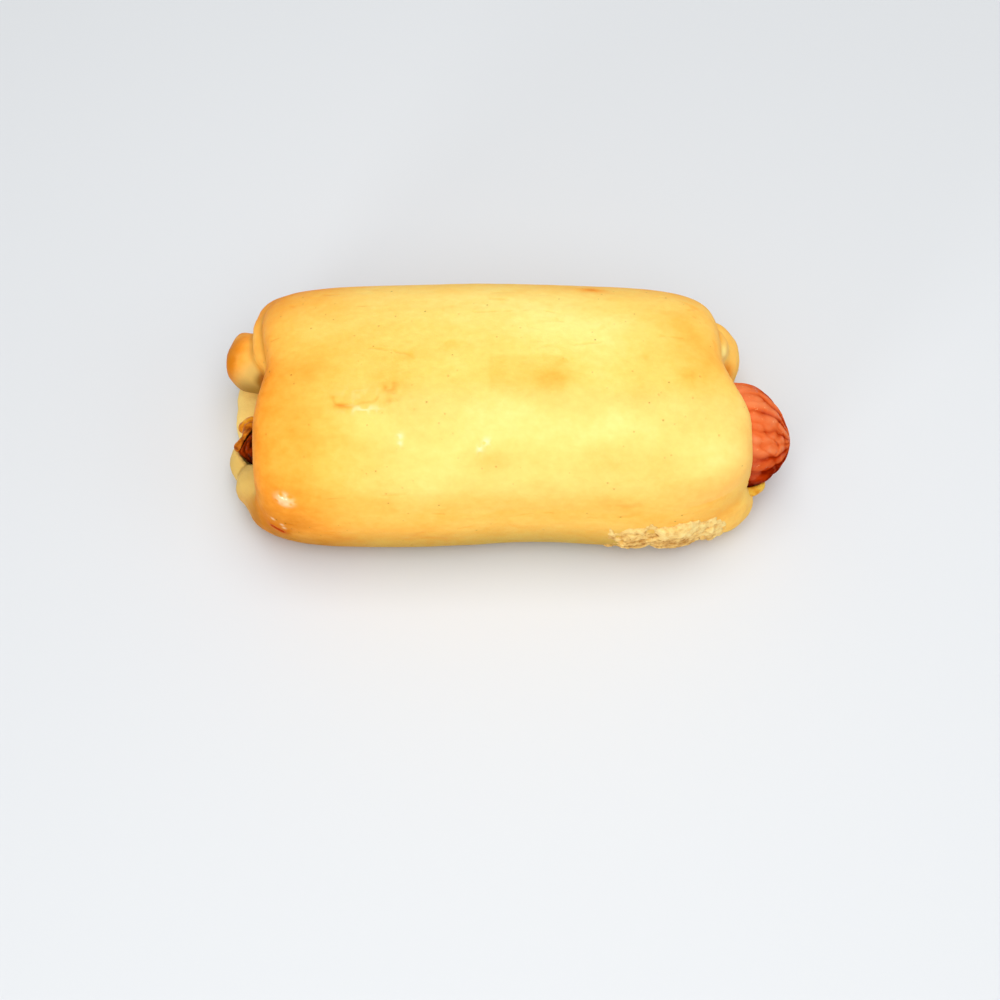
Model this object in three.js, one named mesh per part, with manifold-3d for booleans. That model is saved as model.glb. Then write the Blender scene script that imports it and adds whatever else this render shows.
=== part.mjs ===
// A sausage kolache: a soft baked roll of dough wrapped round a sausage and a strip of melted cheese.
// Lengths are in millimetres. +Z is up, +X points to the end where the sausage sticks out, and -Y is the front.
// The kolache lies on its flat baked underside, and the origin is the middle of its footprint at that height.
import * as THREE from "three";
import { mergeVertices } from "three/addons/utils/BufferGeometryUtils.js";
import Module from "manifold-3d";

// ---- Driving dimensions ----
const GAP = 0.3; // clearance between pieces that touch

// The pillow of dough, without the folds at its ends. The ends are the lips of the top layer.
const DOUGH = {
  leftEnd: -63.2,
  rightEnd: 61.2,
  back: 35.2,
  front: -32.5,
  height: 44.5,
  widestHeight: 16, // the roll is widest below its middle, where the soft dough has sagged
  sinkDepth: 18.5, // reach of the rounding below widestHeight; what passes under 0 is baked flat
  topPower: 2.5,
  basePower: 3.2,
  endPower: { left: 7.5, right: 6.5, moreAtBack: 2 }, // the corners are rounder at the right and at the front
};
const BOW = { middle: -8, back: 0.0005, height: 0.0008 }; // sag of back edge and crown towards the ends, per mm
const WAIST = { x: 8, depth: 1.5, halfLength: 18 }; // where the front wall pulls in
// The left lip is pulled in over the rolled edge and reaches a little further at the front.
const LEFT_LIP = { dentY: 6, depth: 2.6, halfWidth: 9, frontFrom: 0, frontTo: -15, more: 0.4 };
// The right lip covers the sausage, draws back behind it and curves in at the front corner.
const RIGHT_LIP = { fullFrom: -10.5, backFrom: 9, step: 7, cornerFrom: -17, cornerCurve: 0.05 };

const SAUSAGE = {
  leftTip: -69.4,
  rightTip: 71.9,
  radius: 13.3,
  y: -5.6,
  z: 19.5,
  left: { taper: 22, power: 1.15, droop: 44, shiftY: -1.5, shiftZ: -6.5 }, // shrunken, dark end
  right: { taper: 13, power: 1.65, droop: 16, shiftY: -1.5, shiftZ: -1 }, // gathered end
  pleats: 7,
  pleatDepth: 0.1,
};

// The cheese lies round the sausage between two angles, measured in the YZ plane from +Y towards +Z.
const CHEESE = {
  fromAngle: -168,
  toAngle: 15,
  thickness: 3,
  left: { end: -63.5, spill: 6.5, angle: 0, spread: 50 },
  right: { end: 58, spill: 8, angle: -143, spread: 22 },
};

// Rounded lumps of dough: centre, radii and power of each superellipsoid, and its turn about Z in degrees.
const LEFT_FOLDS = [
  { at: [-56, -16, 9], radii: [11.4, 10.8, 10], power: 2.4, turn: 0 }, // front corner, where the folds meet the wall
  { at: [-57, 19, 25.5], radii: [8.4, 11.5, 7], power: 2.3, turn: 0 }, // thin layer under the lip
  { at: [-60, 16, 18], radii: [13.2, 7.6, 7.8], power: 2.5, turn: 0 }, // rolled edge at the back
  { at: [-58.5, 20.5, 8], radii: [11.2, 7, 7.5], power: 2.5, turn: 0 }, // where the rolled edge comes up from the base
  { at: [-58, 11.5, 3], radii: [14, 18.5, 7.5], power: 2.8, turn: 0 }, // pale bottom layer
  { at: [-60, -7.5, 7.2], radii: [12.1, 7.6, 8.6], power: 2.3, turn: 0 }, // front lip that curls up
  { at: [-59, -15.5, 9.5], radii: [10.7, 6, 8.5], power: 2.3, turn: 0 }, // mound behind the front corner
];
const RIGHT_FOLDS = [
  { at: [53, -16, 9.5], radii: [9.7, 11, 10], power: 2.3, turn: 0 }, // front corner
  { at: [50.4, 18.5, 15.5], radii: [10.2, 10.4, 9.5], power: 2.3, turn: 0 }, // layer that shows behind the sausage
  { at: [50.2, 22.5, 7.5], radii: [9.6, 8.5, 8], power: 2.4, turn: 0 }, // its foot, down to the base
  { at: [50, 3, 3.5], radii: [11, 22, 7], power: 2.8, turn: 0 }, // bottom layer under the sausage
  { at: [57.8, -18.6, 8.5], radii: [5, 4.8, 6], power: 2.2, turn: 15 }, // small lip in front of it
];
// The hollow under each lip of the top layer. Its centre is measured along X from the lip.
const LEFT_MOUTH = { at: [-5, -1, 15.5], radii: [10.5, 23, 12.5], power: 2.3 };
const RIGHT_MOUTH = { at: [5, 1, 15], radii: [9.5, 24, 12.5], power: 2.3 };
const MOUTH_BLEND = 2.5; // rounding of the lips round the hollows

// Where the kolache was pulled from its neighbour in the tin: bare crumb, rough and a little proud of the wall.
const TORN_CRUMB = { at: [40.2, -29, 12.4], radii: [16, 4, 8.2], roughness: 0.07 };

// ---- Shape helpers ----
const wasm = await Module();
wasm.setup();

const { smoothstep } = THREE.MathUtils;
const clamp01 = (t) => Math.min(1, Math.max(0, t));
const bell = (t) => Math.exp(-t * t);
const radians = THREE.MathUtils.degToRad;

// Moves every vertex of a closed geometry by map(point) and keeps only what a solid needs.
function shaped(geometry, map) {
  const moved = geometry.clone();
  moved.deleteAttribute("normal");
  moved.deleteAttribute("uv");
  const position = moved.getAttribute("position");
  const point = new THREE.Vector3();
  for (let i = 0; i < position.count; i++) {
    map(point.fromBufferAttribute(position, i));
    position.setXYZ(i, point.x, point.y, point.z);
  }
  return mergeVertices(moved, 1e-4);
}

// The same closed surface moved outwards, for the room that a piece needs in the dough.
function grown(geometry, distance) {
  geometry.computeVertexNormals();
  const normal = geometry.getAttribute("normal");
  const position = geometry.getAttribute("position");
  for (let i = 0; i < position.count; i++) {
    position.setXYZ(
      i,
      position.getX(i) + distance * normal.getX(i),
      position.getY(i) + distance * normal.getY(i),
      position.getZ(i) + distance * normal.getZ(i),
    );
  }
  geometry.deleteAttribute("normal");
  return geometry;
}

function toSolid(geometry) {
  return new wasm.Manifold(
    new wasm.Mesh({
      numProp: 3,
      vertProperties: new Float32Array(geometry.getAttribute("position").array),
      triVerts: new Uint32Array(geometry.index.array),
    }),
  );
}

function toGeometry(solid) {
  const mesh = solid.getMesh();
  return new THREE.BufferGeometry()
    .setAttribute("position", new THREE.BufferAttribute(mesh.vertProperties, 3))
    .setIndex(new THREE.BufferAttribute(mesh.triVerts, 1));
}

// A unit sphere with its poles on the X axis.
const ballAlongX = (around, along) => new THREE.SphereGeometry(1, around, along).rotateZ(-Math.PI / 2);

// ---- Dough ----
const CENTRE = new THREE.Vector3(0, 0, DOUGH.widestHeight);

const backEdge = (x) => DOUGH.back - BOW.back * (x - BOW.middle) ** 2;
const frontEdge = (x) => DOUGH.front + WAIST.depth * bell((x - WAIST.x) / WAIST.halfLength);
const crown = (x) => DOUGH.height - BOW.height * (x - BOW.middle) ** 2;

function leftLip(y) {
  const { dentY, depth, halfWidth, frontFrom, frontTo, more } = LEFT_LIP;
  return DOUGH.leftEnd - more * smoothstep(-y, -frontFrom, -frontTo) + depth * bell((y - dentY) / halfWidth);
}

function rightLip(y) {
  const { fullFrom, backFrom, step, cornerFrom, cornerCurve } = RIGHT_LIP;
  const corner = cornerCurve * Math.max(cornerFrom - y, 0) ** 2;
  return DOUGH.rightEnd - step * smoothstep(y, fullFrom, backFrom) - corner;
}

// 1 on the pillow's surface, less inside it: superellipse sections, closed by superellipse ends.
function pillowGauge({ x, y, z }) {
  const middle = (backEdge(x) + frontEdge(x)) / 2;
  const across = Math.abs(y - middle) / ((backEdge(x) - frontEdge(x)) / 2);
  const above = z > DOUGH.widestHeight;
  const power = above ? DOUGH.topPower : DOUGH.basePower;
  const reach = above ? crown(x) - DOUGH.widestHeight : DOUGH.sinkDepth;
  const up = Math.abs(z - DOUGH.widestHeight) / reach;
  const section = (across ** power + up ** power) ** (1 / power);
  const along = x > 0 ? x / rightLip(y) : x / leftLip(y);
  const { left, right, moreAtBack } = DOUGH.endPower;
  const endPower = (x > 0 ? right : left) + moreAtBack * smoothstep(y, -25, 15);
  return (section ** endPower + along ** endPower) ** (1 / endPower);
}

// Distance along the line to the centre from a point to the surface where gauge is 1, negative inside.
const depthOf = (fromCentre, gauge) => fromCentre.length() * (1 - 1 / Math.max(gauge, 1e-3));

// Above 1 outside a lump and below 1 inside it.
function lumpGauge(fromCentre, { radii, power }) {
  const parts = fromCentre.toArray().map((value, axis) => Math.abs(value / radii[axis]) ** power);
  return (parts[0] + parts[1] + parts[2]) ** (1 / power);
}

function lumpSolid(fold) {
  const upright = new THREE.Vector3(0, 0, 1);
  const geometry = shaped(ballAlongX(16, 12), (p) => {
    p.multiply(new THREE.Vector3(...fold.radii));
    p.divideScalar(lumpGauge(p, fold));
    p.applyAxisAngle(upright, radians(fold.turn)).add(new THREE.Vector3(...fold.at));
  });
  return toSolid(geometry);
}

// The greater of two depths, rounded over where they are close.
function roundedCut(a, b, width) {
  const closeness = Math.max(width - Math.abs(a - b), 0) / width;
  return Math.max(a, b) + (closeness * closeness * width) / 4;
}

function pillowDepth(point) {
  const lip = point.x > 0 ? rightLip(point.y) : leftLip(point.y);
  const mouth = point.x > 0 ? RIGHT_MOUTH : LEFT_MOUTH;
  const fromMouth = point.clone().sub(new THREE.Vector3(lip, 0, 0)).sub(new THREE.Vector3(...mouth.at));
  const pillowPart = depthOf(point.clone().sub(CENTRE), pillowGauge(point));
  return roundedCut(pillowPart, -depthOf(fromMouth, lumpGauge(fromMouth, mouth)), MOUTH_BLEND);
}

// The pillow's surface, found along rays that fan out from a line inside it.
function pillow() {
  const line = 92;
  const capsule = new THREE.CapsuleGeometry(1, line, 13, 44, 11).rotateZ(-Math.PI / 2);
  const geometry = shaped(capsule, (p) => {
    const start = new THREE.Vector3(Math.max(-line / 2, Math.min(line / 2, p.x)), 0, 0);
    const ray = p.clone().sub(start).normalize();
    start.add(CENTRE);
    let inside = 0;
    let outside = 60;
    for (let step = 0; step < 24; step++) {
      const half = (inside + outside) / 2;
      if (pillowDepth(p.copy(start).addScaledVector(ray, half)) < 0) inside = half;
      else outside = half;
    }
  });
  return toSolid(geometry);
}

function tornCrumb() {
  const { at, radii, roughness } = TORN_CRUMB;
  return shaped(ballAlongX(26, 22), (p) => {
    const ripple = Math.sin(11 * p.x + 5 * p.z) * Math.cos(9 * p.z - 4 * p.x) + 0.6 * Math.sin(23 * p.x - 17 * p.z);
    p.multiplyScalar(1 + roughness * ripple * Math.sqrt(clamp01(1 - p.x * p.x)));
    p.multiply(new THREE.Vector3(...radii)).add(new THREE.Vector3(...at));
  });
}

// ---- Sausage ----
// Share of the full radius at a distance from a tip, round at its end and straight after its taper.
function taperShare(distance, { taper, power }) {
  const left = clamp01(1 - distance / taper);
  return clamp01(1 - left * left) ** (1 / power);
}

function sausageRadius(x) {
  const fromLeft = taperShare(x - SAUSAGE.leftTip, SAUSAGE.left);
  const fromRight = taperShare(SAUSAGE.rightTip - x, SAUSAGE.right);
  return SAUSAGE.radius * Math.min(fromLeft, fromRight);
}

// The middle of the sausage's section at x. Both ends droop a little where they leave the dough.
function sausageMiddle(x) {
  const toLeft = clamp01(1 - (x - SAUSAGE.leftTip) / SAUSAGE.left.droop) ** 2;
  const toRight = clamp01(1 - (SAUSAGE.rightTip - x) / SAUSAGE.right.droop) ** 2;
  return {
    y: SAUSAGE.y + toLeft * SAUSAGE.left.shiftY + toRight * SAUSAGE.right.shiftY,
    z: SAUSAGE.z + toLeft * SAUSAGE.left.shiftZ + toRight * SAUSAGE.right.shiftZ,
  };
}

// The casing gathers in lengthwise pleats towards both tips.
function pleat(x, angle) {
  const nearLeft = bell((x - SAUSAGE.leftTip) / SAUSAGE.left.taper);
  const nearRight = bell((SAUSAGE.rightTip - x) / SAUSAGE.right.taper);
  const wave = Math.abs(Math.sin((SAUSAGE.pleats * angle) / 2 + 0.4 * Math.sin(2 * angle)));
  return 1 - SAUSAGE.pleatDepth * Math.max(nearLeft, nearRight) * (1 - wave) ** 2;
}

function sausage() {
  const half = (SAUSAGE.rightTip - SAUSAGE.leftTip) / 2;
  const centre = (SAUSAGE.rightTip + SAUSAGE.leftTip) / 2;
  return shaped(ballAlongX(28, 26), (p) => {
    const angle = Math.atan2(p.z, p.y);
    const x = centre + half * p.x;
    const middle = sausageMiddle(x);
    const radius = sausageRadius(x) * pleat(x, angle);
    p.set(x, middle.y + radius * Math.cos(angle), middle.z + radius * Math.sin(angle));
  });
}

// ---- Cheese ----
// A strip bent round the sausage, still reaching into it. It has melted out over a part of its width at each end.
function cheeseStrip() {
  const { left, right, thickness } = CHEESE;
  return shaped(new THREE.BoxGeometry(1, 1, 1, 20, 11, 1), (p) => {
    const across = 0.5 - p.y;
    const angle = CHEESE.fromAngle + across * (CHEESE.toAngle - CHEESE.fromAngle);
    const xLeft = left.end - left.spill * bell((angle - left.angle) / left.spread);
    const xRight = right.end + right.spill * bell((angle - right.angle) / right.spread);
    const x = xLeft + (p.x + 0.5) * (xRight - xLeft);
    const middle = sausageMiddle(x);
    const inner = Math.max(sausageRadius(x) - 2, 0.4);
    const outer = sausageRadius(x) + GAP + thickness * (0.55 + 0.45 * Math.sin(Math.PI * across));
    const radius = p.z < 0 ? inner : outer;
    p.set(x, middle.y + radius * Math.cos(radians(angle)), middle.z + radius * Math.sin(radians(angle)));
  });
}

const sausageRoom = () => toSolid(grown(sausage(), GAP));
const cheese = () => toSolid(cheeseStrip()).subtract(sausageRoom());

function dough() {
  let body = pillow().add(toSolid(tornCrumb()));
  for (const fold of [...LEFT_FOLDS, ...RIGHT_FOLDS]) body = body.add(lumpSolid(fold));
  body = body.subtract(sausageRoom()).subtract(toSolid(grown(cheeseStrip(), 2 * GAP)));
  const underTray = shaped(new THREE.BoxGeometry(200, 200, 100), (p) => p.setZ(p.z - 50));
  return body.subtract(toSolid(underTray));
}

// ---- The object ----
function named(name, geometry, color, roughness) {
  const mesh = new THREE.Mesh(geometry, new THREE.MeshStandardMaterial({ color, roughness, metalness: 0 }));
  mesh.name = name;
  return mesh;
}

const kolache = new THREE.Group();
kolache.add(
  named("dough", toGeometry(dough()), 0xf7cd6e, 0.55),
  named("sausage", sausage(), 0xd9603a, 0.35),
  named("cheese", toGeometry(cheese()), 0xd99a34, 0.4),
);

// The shapes above are measured from a line near the roll's middle; the origin goes to the middle of the footprint.
const bounds = new THREE.Box3().setFromObject(kolache);
const middle = bounds.getCenter(new THREE.Vector3());
kolache.position.set(-middle.x, -middle.y, -bounds.min.z);

export default kolache;
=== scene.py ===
"""A sausage kolache: soft glazed dough baked round a sausage and a strip of cheese.

Shapes are worked out in millimetres in a frame of their own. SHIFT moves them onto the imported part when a
mesh is made. +X points to the end where the sausage sticks out, -Y is the front and +Z is up.
"""

import math

import bpy
import numpy as np
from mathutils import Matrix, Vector


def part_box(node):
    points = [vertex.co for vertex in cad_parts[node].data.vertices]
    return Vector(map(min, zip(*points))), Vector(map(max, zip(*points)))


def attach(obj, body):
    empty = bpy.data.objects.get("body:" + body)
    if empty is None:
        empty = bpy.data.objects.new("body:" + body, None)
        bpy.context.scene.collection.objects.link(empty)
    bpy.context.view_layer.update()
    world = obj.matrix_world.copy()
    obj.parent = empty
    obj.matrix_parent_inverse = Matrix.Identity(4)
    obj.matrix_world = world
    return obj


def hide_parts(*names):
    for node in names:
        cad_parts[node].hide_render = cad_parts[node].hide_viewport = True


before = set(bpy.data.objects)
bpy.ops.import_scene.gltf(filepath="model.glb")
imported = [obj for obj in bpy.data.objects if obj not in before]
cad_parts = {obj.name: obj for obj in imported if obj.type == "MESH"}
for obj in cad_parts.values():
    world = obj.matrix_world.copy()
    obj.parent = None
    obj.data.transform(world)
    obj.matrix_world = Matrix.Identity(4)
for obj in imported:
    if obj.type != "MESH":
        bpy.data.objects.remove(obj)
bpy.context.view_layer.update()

# ---- Sizes, mm ----
SAUSAGE_LEFT, SAUSAGE_RIGHT = -69.4, 71.9
SAUSAGE_R, SAUSAGE_Y, SAUSAGE_Z = 13.3, -5.6, 19.5
# The sausage's rounded ends: length and power of the curve.
LEFT_TAPER = (22, 1.15)
RIGHT_TAPER = (13, 1.65)
# How far each end of the sausage bends off its axis: length of the bend, shift along Y and drop.
LEFT_BEND = (44, -1.5, 6.5)
RIGHT_BEND = (16, -1.5, 1.0)

# The roll's highest and widest section is at this X.
MIDDLE_X = -8
TOP = 44.5
BACK = 35.2
FRONT = -32.5
CENTRE_Z = 16.0
# Depth of the roll's lower half if it weren't cut flat at the floor.
LOWER_HALF = 18.5
# Marks of the upper crust lie above UPPER_Z, and the small marks on top above TOP_Z.
UPPER_Z, TOP_Z = 26, 36
# Marks of the front wall lie in front of this Y.
FRONT_WALL_Y = -22
# The folds of the open ends lie beyond these.
LEFT_END_X, RIGHT_END_X = -54, 46

# The grid that finds each piece's surface: its two corners and its step.
DOUGH_GRID = ((-76, -36, -2), (68, 39, 47), 1.15)
CRUMB_GRID = ((20, -36, -1), (58, -22, 26), 0.38)
CHEESE_GRID = ((-73, -24, -1), (69, 14, 26), 0.9)

# The photo's camera: its elevation, its distance and aim, and the width of the picture at the aim.
PHOTO_ELEVATION = math.radians(63.6)
PHOTO_DISTANCE = 450.0
PHOTO_TARGET = np.array([-2.0, -24.4, 20.0])
PHOTO_WIDTH = 250.0
SENSOR = 36.0
# What a millimetre along Y and along Z adds to the height in the picture.
UP_PER_Y, UP_PER_Z = 0.896, 0.445

sausage_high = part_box("sausage")[1]
dough_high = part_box("dough")[1]
SHIFT = np.array([sausage_high.x * 1000 - SAUSAGE_RIGHT, dough_high.y * 1000 - BACK, 0.0])


# ---- Number helpers ----
def bell(t):
    """1 at 0, falling smoothly to nearly 0 at 2."""
    return np.exp(-t * t)


def spot(a, b, middle, size):
    """A soft spot over two coordinates: 1 at its middle, falling off over its size."""
    return bell((a - middle[0]) / size[0]) * bell((b - middle[1]) / size[1])


def smoothstep(t, a, b):
    u = np.clip((t - a) / (b - a), 0, 1)
    return u * u * (3 - 2 * u)


def smooth_min(a, b, width):
    close = np.maximum(width - np.abs(a - b), 0) / width
    return np.minimum(a, b) - close * close * width / 4


def smooth_max(a, b, width):
    return -smooth_min(-a, -b, width)


class Noise:
    """Smooth value noise from -1 to 1 on a repeating random lattice."""

    SIZE = 32

    def __init__(self, seed):
        self.lattice = np.random.RandomState(seed).uniform(-1, 1, (self.SIZE,) * 3)

    def __call__(self, p, scale):
        q = p / np.asarray(scale, float) + 100.37
        cell = np.floor(q).astype(int)
        t = q - cell
        t = t * t * (3 - 2 * t)
        total = np.zeros(len(p))
        for corner in np.ndindex(2, 2, 2):
            weight = np.prod(np.where(corner, t, 1 - t), axis=1)
            i, j, k = ((cell + corner) % self.SIZE).T
            total += weight * self.lattice[i, j, k]
        return total

    def layered(self, p, scale, octaves=3):
        """Coarse noise plus finer and weaker copies of it."""
        total = np.zeros(len(p))
        for octave in range(octaves):
            total += 0.5**octave * self(p + 17.3 * octave, np.asarray(scale, float) / 2**octave)
        return total / 1.75

    def ridged(self, p, scale):
        """Narrow ridges up to 1, with valleys down to -1."""
        return 1 - 2 * np.abs(self(p, scale))


broad, medium, fine, rough = Noise(1), Noise(2), Noise(3), Noise(4)


class Cells:
    """Random cells: distance to the nearest cell's point, in cell sizes, and that cell's own number."""

    SIZE = 24

    def __init__(self, seed):
        random = np.random.RandomState(seed)
        self.points = random.uniform(0.1, 0.9, (self.SIZE,) * 3 + (3,))
        self.numbers = random.uniform(-1, 1, (self.SIZE,) * 3)

    def __call__(self, p, scale):
        q = p / np.asarray(scale, float) + 90.21
        base = np.floor(q).astype(int)
        nearest = np.full(len(p), 9.0)
        number = np.zeros(len(p))
        for offset in np.ndindex(3, 3, 3):
            cell = base + np.array(offset) - 1
            i, j, k = (cell % self.SIZE).T
            distance = np.linalg.norm(q - cell - self.points[i, j, k], axis=1)
            closer = distance < nearest
            nearest = np.where(closer, distance, nearest)
            number = np.where(closer, self.numbers[i, j, k], number)
        return nearest, number


flakes, holes = Cells(5), Cells(6)


# ---- Sausage ----
def taper(distance, length, power):
    """Share of the full radius at a distance from the tip."""
    left = np.clip(1 - distance / length, 0, 1)
    return np.clip(1 - left * left, 0, 1) ** (1 / power)


def sausage_radius(x):
    at_left = taper(x - SAUSAGE_LEFT, *LEFT_TAPER)
    at_right = taper(SAUSAGE_RIGHT - x, *RIGHT_TAPER)
    return SAUSAGE_R * np.minimum(at_left, at_right)


def sausage_middle(x):
    """Y and Z of the link's axis."""
    y, z = SAUSAGE_Y, SAUSAGE_Z
    for from_tip, (length, shift, drop) in ((x - SAUSAGE_LEFT, LEFT_BEND), (SAUSAGE_RIGHT - x, RIGHT_BEND)):
        share = np.clip(1 - from_tip / length, 0, 1) ** 2
        y = y + shift * share
        z = z - drop * share
    return y, z


def sausage_depth(p):
    """Distance from the plain link's skin, negative inside."""
    x = np.clip(p[:, 0], SAUSAGE_LEFT, SAUSAGE_RIGHT)
    middle_y, middle_z = sausage_middle(x)
    from_axis = np.hypot(p[:, 1] - middle_y, p[:, 2] - middle_z)
    beyond = np.abs(p[:, 0] - x)
    return np.where(beyond > 0, np.hypot(from_axis, beyond), from_axis - sausage_radius(x))


# ---- Dough ----
def crown(x):
    """Height of the roll's top."""
    return TOP - 0.0008 * (x - MIDDLE_X) ** 2


def right_lip(y):
    """Length of the roll from X = 0 to the edge of its top layer at the right end."""
    return 61.2 - 7.0 * smoothstep(y, -10.5, 9) - 0.05 * np.clip(-y - 17, 0, None) ** 2


def left_lip(y):
    return 63.2 + 0.4 * smoothstep(-y, 0, 15) - 2.6 * bell((y - 6) / 9)


def pillow_depth(p):
    """Distance from the plain roll, closed at both ends, negative inside."""
    x, y, z = p.T
    back = BACK - 0.0005 * (x - MIDDLE_X) ** 2
    front = FRONT + 1.5 * bell((x - 8) / 18)
    across = np.abs(y - (back + front) / 2) / ((back - front) / 2)
    above = z > CENTRE_Z
    power = np.where(above, 2.5, 3.2)
    up = np.abs(z - CENTRE_Z) / np.where(above, crown(x) - CENTRE_Z, LOWER_HALF)
    section = (across**power + up**power) ** (1 / power)
    along = np.abs(x) / np.where(x > 0, right_lip(y), left_lip(y))
    squarer_at_back = smoothstep(y, -25, 15)
    end_power = np.where(x > 0, 6.5 + 1.5 * squarer_at_back, 7.5 + 2.5 * squarer_at_back)
    gauge = (section**end_power + along**end_power) ** (1 / end_power)
    from_centre = np.linalg.norm(p - [0, 0, CENTRE_Z], axis=1)
    return from_centre * (1 - 1 / np.maximum(gauge, 1e-3))


def lump_depth(p, at, radii, power=2.3, turn=0.0):
    """Distance from a rounded block, turned about Z by some degrees, negative inside."""
    q = p - at
    c, s = math.cos(math.radians(turn)), math.sin(math.radians(turn))
    q = np.stack([c * q[:, 0] + s * q[:, 1], -s * q[:, 0] + c * q[:, 1], q[:, 2]], axis=1)
    gauge = (np.abs(q / radii) ** power).sum(axis=1) ** (1 / power)
    return np.linalg.norm(q, axis=1) * (1 - 1 / np.maximum(gauge, 1e-3))


# Each fold of the wrap: centre, radii, power, turn and the width of its crease.
LEFT_FOLDS = {
    "corner": ([-56, -16, 9], [11.4, 10.8, 10], 2.4, 0, 4.0),
    "layer": ([-57, 19, 25.5], [8.4, 11.5, 7], 2.3, 0, 1.4),
    "bulb": ([-60, 16.0, 18], [13.2, 7.6, 7.8], 2.5, 0, 0.6),
    "nub": ([-68.2, 22.0, 19.4], [2.6, 2.2, 2.2], 2.2, -30, 3.2),
    "root": ([-58.5, 20.5, 8], [11.2, 7, 7.5], 2.5, 0, 5.0),
    "floor": ([-58, 11.5, 3], [14.0, 18.5, 7.5], 2.8, 0, 1.2),
    "rim": ([-60, -7.5, 7.2], [12.1, 7.6, 8.6], 2.3, 0, 1.5),
    "mound": ([-59.0, -15.5, 9.5], [10.7, 6.0, 8.5], 2.3, 0, 1.6),
}
RIGHT_FOLDS = {
    "corner": ([53, -16, 9.5], [9.7, 11.0, 10], 2.3, 0, 4.0),
    "strip": ([48.5, 16.5, 24.5], [8.0, 6.0, 6.5], 2.4, 0, 0.5),
    "back_lobe": ([50.4, 18.5, 15.5], [10.2, 10.4, 9.5], 2.3, 0, 1.5),
    "root": ([50.2, 22.5, 7.5], [9.6, 8.5, 8], 2.4, 0, 5.0),
    "floor": ([50, 3, 3.5], [11, 22, 7], 2.8, 0, 3.0),
    "small_lip": ([57.8, -18.6, 8.5], [5, 4.8, 6], 2.2, 15, 1.4),
}
# The hollow end under each lip: centre, measured from the lip along X, and radii.
LEFT_MOUTH = ([-5.0, -1, 15.5], [10.5, 23, 12.5])
RIGHT_MOUTH = ([5.0, 1, 15], [9.5, 24, 12.5])


def fold_depth(p, fold):
    return lump_depth(p, *fold[:4])


def mouth_depth(p):
    """Distance from the hollows under the two lips, negative inside them."""
    x, y, z = p.T
    at_left = np.stack([x + left_lip(y), y, z], axis=1)
    at_right = np.stack([x - right_lip(y), y, z], axis=1)
    return np.minimum(lump_depth(at_left, *LEFT_MOUTH), lump_depth(at_right, *RIGHT_MOUTH))


def wrap_depth(p):
    """The top layer alone: the pillow with its two hollow ends."""
    return smooth_max(pillow_depth(p), -mouth_depth(p), 2.5)


# The relief is worked out only this near to the surface.
RELIEF_REACH = 2.2
# The crooked crack along the lower edge of the blister on top, as (x, y).
BLISTER_CRACK = (
    (-42.5, -8.0),
    (-41.9, -10.3),
    (-38.6, -10.7),
    (-34.7, -9.6),
    (-32.5, -9.6),
    (-31.3, -8.2),
    (-30.2, -6.0),
)
BLISTER_AT = (-36.5, -7.8)
# Two small clusters of bubbles right of the blister, as (x, y) and their sizes.
CLUSTERS = (((-28.2, -6.0), (2.0, 2.2)), ((-28.2, -9.4), (1.7, 1.3)))
# On the front wall near the left corner, as (x, z): the ends of a short split, the glossy dots round it, which
# also carry a painted highlight, and the middle and size of a glossy, wrinkled spot.
SPLIT = ((-59.0, 15.5), (-56.6, 14.5))
SPLIT_DOTS = ((-58.6, 19.3), (-56.4, 18.0), (-56.0, 16.6))
GLOSSY_AT, GLOSSY_SIZE = (-54.7, 28.4), (2.5, 1.8)
# Tiny puckers on top: x, y and size.
PUCKERS = (
    (-26.1, -17.8, 1.0),
    (-26.1, -19.4, 0.8),
    (-5.2, -19.0, 1.2),
    (-6.9, -20.6, 1.0),
)


def from_line(p, points):
    """Distance to a line through the points, which have as many columns as p."""
    nearest = np.full(len(p), 1e9)
    for a, b in zip(np.array(points[:-1], float), np.array(points[1:], float)):
        along = np.clip((p - a) @ (b - a) / ((b - a) @ (b - a)), 0, 1)
        nearest = np.minimum(nearest, np.linalg.norm(p - a - along[:, None] * (b - a), axis=1))
    return nearest


def from_split(p):
    """Distance to the split, and far from it off the front wall."""
    return from_line(p[:, [0, 2]], SPLIT) + 9 * (p[:, 1] > FRONT_WALL_Y)


def glossy_of(p):
    """Share of the glossy, wrinkled spot."""
    away = np.linalg.norm((p[:, [0, 2]] - GLOSSY_AT) / GLOSSY_SIZE, axis=1)
    return bell(away**1.8) * (p[:, 1] < FRONT_WALL_Y)


def blister_of(p):
    """Share of the blistered skin on top."""
    x, y, z = p.T
    return spot(x, y, BLISTER_AT, (6.5, 2.6)) * (z > TOP_Z)


def crack_of(p, width):
    """Share of the blister's crack, which fades in and out along its way."""
    strength = 0.50 + 0.50 * medium(p + 41, 2.2) + 0.35 * bell((p[:, 0] + 40.5) / 2.2)
    bent = p[:, :2] + 0.55 * np.stack([medium(p + 5, 1.5), medium(p + 77, 1.5)], axis=1)
    return bell(from_line(bent, BLISTER_CRACK) / width) * np.clip(strength, 0.1, 1) * (p[:, 2] > TOP_Z)


def cluster_of(p):
    """Share of the two small clusters of bubbles."""
    x, y, z = p.T
    return np.maximum.reduce([spot(x, y, *cluster) for cluster in CLUSTERS]) * (z > TOP_Z)


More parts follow.
